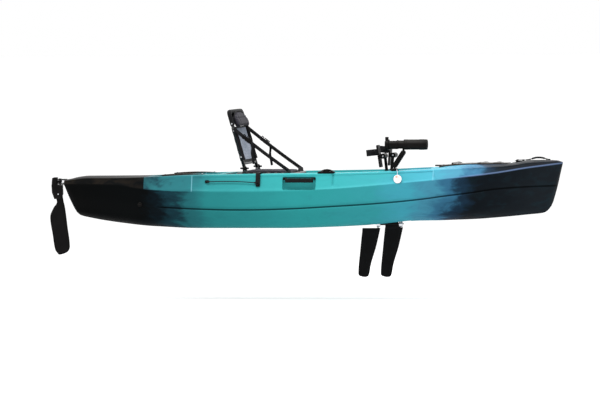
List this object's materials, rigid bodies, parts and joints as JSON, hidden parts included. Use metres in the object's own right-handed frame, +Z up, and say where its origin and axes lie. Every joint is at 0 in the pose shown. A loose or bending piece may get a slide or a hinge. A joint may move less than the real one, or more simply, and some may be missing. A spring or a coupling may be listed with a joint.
{
  "type": "pedal kayak",
  "caption": "Sit-on-top fishing kayak driven by a flapping-fin pedal drive, with framed folding seat, kick-up rudder, front hatch and rod holder.",
  "frame": {"origin": "on the centre line amidships, at the level of the flat run of the keel, where a cradle or cart holds the hull", "axes": "+X to the bow, +Y to port, +Z up"},
  "size_m": [3.8047, 0.836, 1.2298],
  "materials": {
    "hull_shell": "satin",
    "black_plastic": "matte",
    "rail_plastic": "satin",
    "rubber": "matte",
    "webbing": "matte",
    "stainless": "satin",
    "frame_tube": "satin",
    "seat_mesh": "matte",
    "head_fabric": "matte",
    "fin_rubber": "satin",
    "shock_cord": "matte",
    "tag_white": "satin",
    "cord_white": "matte"
  },
  "bodies": {
    "hull": {"hull": "hull_shell", "drain_plug": "black_plastic", "rear_rails": "rail_plastic", "bow_handle": "webbing", "deck_screws": "stainless", "side_handle_brackets": "black_plastic", "pad_eyes": "black_plastic", "paddle_bungees": "shock_cord", "tie_straps": "webbing", "hatch_seal": "rubber", "hatch_hinge": "black_plastic", "hinge_pins": "stainless", "steering_base": "black_plastic", "steering_cables": "stainless", "rudder_bracket": "black_plastic", "rudder_pin": "stainless", "drive_spine": "black_plastic", "drive_shafts": "stainless", "drive_cables": "stainless", "seat_base_frame": "frame_tube", "seat_pad": "seat_mesh", "seat_straps": "webbing", "strap_buckles": "black_plastic", "rod_base": "black_plastic", "tag_cord": "cord_white", "tag": "tag_white"},
    "side_handle_port": {"side_handle_port": "rubber"},
    "side_handle_starboard": {"side_handle_starboard": "rubber"},
    "hatch_lid": {"hatch_lid": "black_plastic", "latch_pin": "stainless"},
    "hatch_latch": {"hatch_latch": "black_plastic"},
    "steering_lever": {"steering_lever": "black_plastic", "steering_pulley": "black_plastic"},
    "rudder_head": {"rudder_head": "black_plastic", "blade_pin": "stainless"},
    "rudder_blade": {"rudder_blade": "black_plastic"},
    "crank_port": {"drum_port": "black_plastic", "crank_port": "black_plastic", "pedal_pin_port": "stainless"},
    "crank_starboard": {"drum_starboard": "black_plastic", "crank_starboard": "black_plastic", "pedal_pin_starboard": "stainless"},
    "pedal_port": {"pedal_port": "black_plastic", "pedal_strap_port": "webbing"},
    "pedal_starboard": {"pedal_starboard": "black_plastic", "pedal_strap_starboard": "webbing"},
    "mast_front": {"mast_front": "stainless", "fin_front": "fin_rubber"},
    "mast_rear": {"mast_rear": "stainless", "fin_rear": "fin_rubber"},
    "drive_latch_port": {"drive_latch_port": "black_plastic"},
    "drive_latch_starboard": {"drive_latch_starboard": "black_plastic"},
    "seat_back": {"seat_back_frame": "frame_tube", "back_mesh": "seat_mesh", "headrest": "head_fabric"},
    "rod_arm": {"rod_arm": "black_plastic"},
    "rod_knob": {"rod_knob": "black_plastic"},
    "rod_tube": {"rod_tube": "black_plastic", "rod_cap": "black_plastic"},
    "rod_collar": {"rod_collar": "black_plastic"}
  },
  "joints": [
    {"name": "side_handle_port_swing", "type": "hinge", "parent": "hull", "child": "side_handle_port", "pos_m": [-0.032, 0.396, 0.373], "axis": [1, 0, 0], "range_deg": [0, 80]},
    {"name": "side_handle_starboard_swing", "type": "hinge", "parent": "hull", "child": "side_handle_starboard", "pos_m": [-0.032, -0.396, 0.373], "axis": [-1, 0, 0], "range_deg": [0, 80]},
    {"name": "hatch_lid_open", "type": "hinge", "parent": "hull", "child": "hatch_lid", "pos_m": [1.464, 0, 0.462], "axis": [0, 1, 0], "range_deg": [0, 85]},
    {"name": "hatch_latch_lift", "type": "hinge", "parent": "hatch_lid", "child": "hatch_latch", "pos_m": [0.966, 0, 0.457], "axis": [0, 1, 0], "range_deg": [0, 75]},
    {"name": "steering_turn", "type": "hinge", "parent": "hull", "child": "steering_lever", "pos_m": [0.163, -0.364, 0.4], "axis": [0, 0, 1], "range_deg": [-60, 60]},
    {"name": "rudder_steer", "type": "hinge", "parent": "hull", "child": "rudder_head", "pos_m": [-1.888, 0, 0.341], "axis": [0, 0, 1], "range_deg": [-40.2, 40.2]},
    {"name": "rudder_kickup", "type": "hinge", "parent": "rudder_head", "child": "rudder_blade", "pos_m": [-1.9, 0, 0.25], "axis": [0, 1, 0], "range_deg": [0, 100]},
    {"name": "crank_starboard_swing", "type": "hinge", "parent": "hull", "child": "crank_starboard", "pos_m": [0.565, 0, 0.345], "axis": [0, 1, 0], "range_deg": [-17, 23]},
    {"name": "crank_port_swing", "type": "hinge", "parent": "hull", "child": "crank_port", "pos_m": [0.565, 0, 0.345], "axis": [0, 1, 0], "range_deg": [-23, 17]},
    {"name": "pedal_starboard_pivot", "type": "hinge", "parent": "crank_starboard", "child": "pedal_starboard", "pos_m": [0.54566, 0, 0.52899], "axis": [0, 1, 0], "range_deg": [-25, 25]},
    {"name": "pedal_port_pivot", "type": "hinge", "parent": "crank_port", "child": "pedal_port", "pos_m": [0.58434, 0, 0.52899], "axis": [0, 1, 0], "range_deg": [-25, 25]},
    {"name": "mast_front_swing", "type": "hinge", "parent": "hull", "child": "mast_front", "pos_m": [0.651, 0, 0.03], "axis": [1, 0, 0], "range_deg": [-57.5, 42.5]},
    {"name": "mast_rear_swing", "type": "hinge", "parent": "hull", "child": "mast_rear", "pos_m": [0.485, 0, 0.03], "axis": [1, 0, 0], "range_deg": [-42.5, 57.5]},
    {"name": "drive_latch_port_turn", "type": "hinge", "parent": "hull", "child": "drive_latch_port", "pos_m": [0.724, 0.065, 0.313], "axis": [0, 0, -1], "range_deg": [0, 90]},
    {"name": "drive_latch_starboard_turn", "type": "hinge", "parent": "hull", "child": "drive_latch_starboard", "pos_m": [0.724, -0.065, 0.313], "axis": [0, 0, 1], "range_deg": [0, 90]},
    {"name": "seat_back_fold", "type": "hinge", "parent": "hull", "child": "seat_back", "pos_m": [-0.456, 0, 0.43], "axis": [0, 1, 0], "range_deg": [-10, 95]},
    {"name": "rod_arm_swivel", "type": "hinge", "parent": "hull", "child": "rod_arm", "pos_m": [0.654, -0.3, 0.462], "axis": [0, 0, 1], "range_deg": [-40, 40]},
    {"name": "rod_knob_turn", "type": "hinge", "parent": "rod_arm", "child": "rod_knob", "pos_m": [0.686, -0.3, 0.511], "axis": [0, 1, 0], "range_deg": [0, 180]},
    {"name": "rod_tube_tilt", "type": "hinge", "parent": "rod_arm", "child": "rod_tube", "pos_m": [0.718, -0.3, 0.56], "axis": [0, 1, 0], "range_deg": [-40, 30]},
    {"name": "rod_collar_turn", "type": "hinge", "parent": "rod_tube", "child": "rod_collar", "pos_m": [0.603, -0.3, 0.616], "axis": [1, 0, 0], "range_deg": [0, 90]}
  ],
  "couplings": [
    {"joint": "rudder_steer", "follows": "steering_turn", "ratio": 0.67},
    {"joint": "crank_port_swing", "follows": "crank_starboard_swing", "ratio": -1},
    {"joint": "mast_front_swing", "follows": "crank_starboard_swing", "ratio": -2.5},
    {"joint": "mast_rear_swing", "follows": "crank_starboard_swing", "ratio": 2.5}
  ]
}
